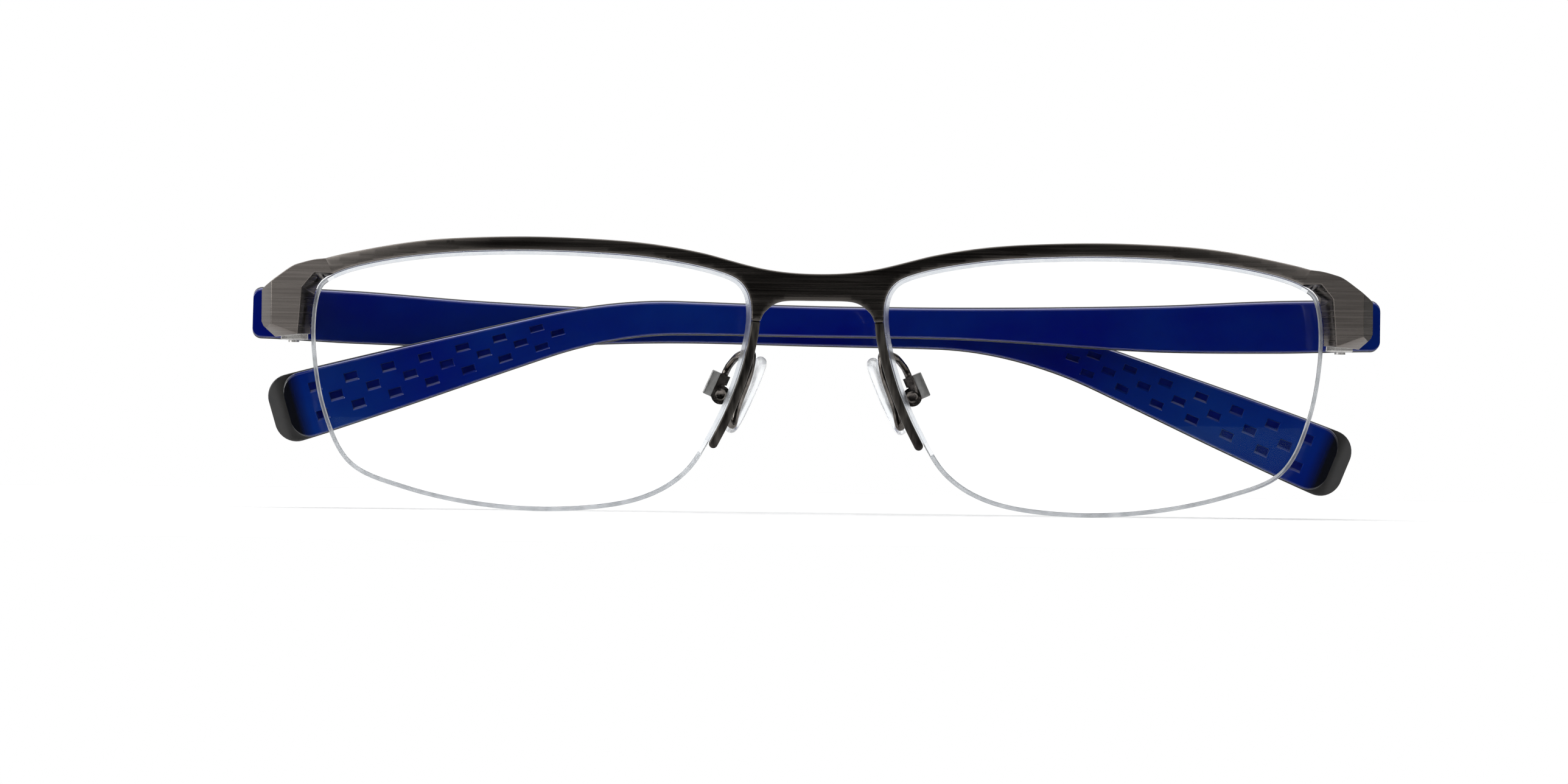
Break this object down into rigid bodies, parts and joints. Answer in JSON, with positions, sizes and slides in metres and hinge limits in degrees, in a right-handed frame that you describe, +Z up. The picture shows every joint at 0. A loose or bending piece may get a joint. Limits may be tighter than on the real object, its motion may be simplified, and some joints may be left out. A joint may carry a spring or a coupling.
{
  "type": "semi-rimless eyeglasses",
  "caption": "Semi-rimless eyeglasses with a metal brow bar, clear lenses held by nylon cord, nose pads on wire arms and folded two-layer temples.",
  "frame": {"origin": "middle of the whole object seen from above, at the lower edges of the lenses", "axes": "+X towards the wearer's left, the front faces -Y, +Z up as worn; the temples lie folded behind the front"},
  "size_m": [0.1423, 0.026, 0.0342],
  "materials": {
    "brow_metal": "brushed, dark",
    "end_metal": "brushed, grey-brown",
    "leg_metal": "satin, dark",
    "hinge_metal": "satin",
    "pad_metal": "polished, dark",
    "screw_steel": "polished",
    "lens_clear": "clear, polished",
    "liner_clear": "clear",
    "nylon": "clear",
    "temple_dark": "glossy",
    "temple_blue": "glossy, slightly see-through",
    "pad_silicone": "clear, soft",
    "pad_plate": "clear"
  },
  "bodies": {
    "front": {"brow_bar": "brow_metal", "right_nasal_leg": "leg_metal", "left_nasal_leg": "leg_metal", "right_end_piece": "end_metal", "left_end_piece": "end_metal", "right_lens": "lens_clear", "left_lens": "lens_clear", "right_rim_liner": "liner_clear", "left_rim_liner": "liner_clear", "right_nylon_cord": "nylon", "left_nylon_cord": "nylon", "right_front_hinge": "hinge_metal", "left_front_hinge": "hinge_metal", "hinge_screws": "screw_steel", "right_pad_arm": "pad_metal", "left_pad_arm": "pad_metal", "right_pad_box": "pad_metal", "left_pad_box": "pad_metal", "pad_screws": "screw_steel"},
    "right_temple": {"right_temple_outer": "temple_dark", "right_temple_inner": "temple_blue", "right_temple_hinge": "hinge_metal"},
    "left_temple": {"left_temple_outer": "temple_dark", "left_temple_inner": "temple_blue", "left_temple_hinge": "hinge_metal"},
    "right_pad": {"right_nose_pad": "pad_silicone", "right_pad_insert": "pad_plate"},
    "left_pad": {"left_nose_pad": "pad_silicone", "left_pad_insert": "pad_plate"}
  },
  "joints": [
    {"name": "right_temple_fold", "type": "hinge", "parent": "front", "child": "right_temple", "pos_m": [-0.0659, 0.00542, 0.02425], "axis": [0, 0, 1], "range_deg": [0, 89.7]},
    {"name": "left_temple_fold", "type": "hinge", "parent": "front", "child": "left_temple", "pos_m": [0.0659, 0.00542, 0.02425], "axis": [0, 0, -1], "range_deg": [0, 93.5]},
    {"name": "right_pad_rock", "type": "hinge", "parent": "front", "child": "right_pad", "pos_m": [-0.01195, -0.00475, 0.01475], "axis": [0, 1, 0], "range_deg": [-10, 10]},
    {"name": "left_pad_rock", "type": "hinge", "parent": "front", "child": "left_pad", "pos_m": [0.01195, -0.00475, 0.01475], "axis": [0, 1, 0], "range_deg": [-10, 10]}
  ]
}
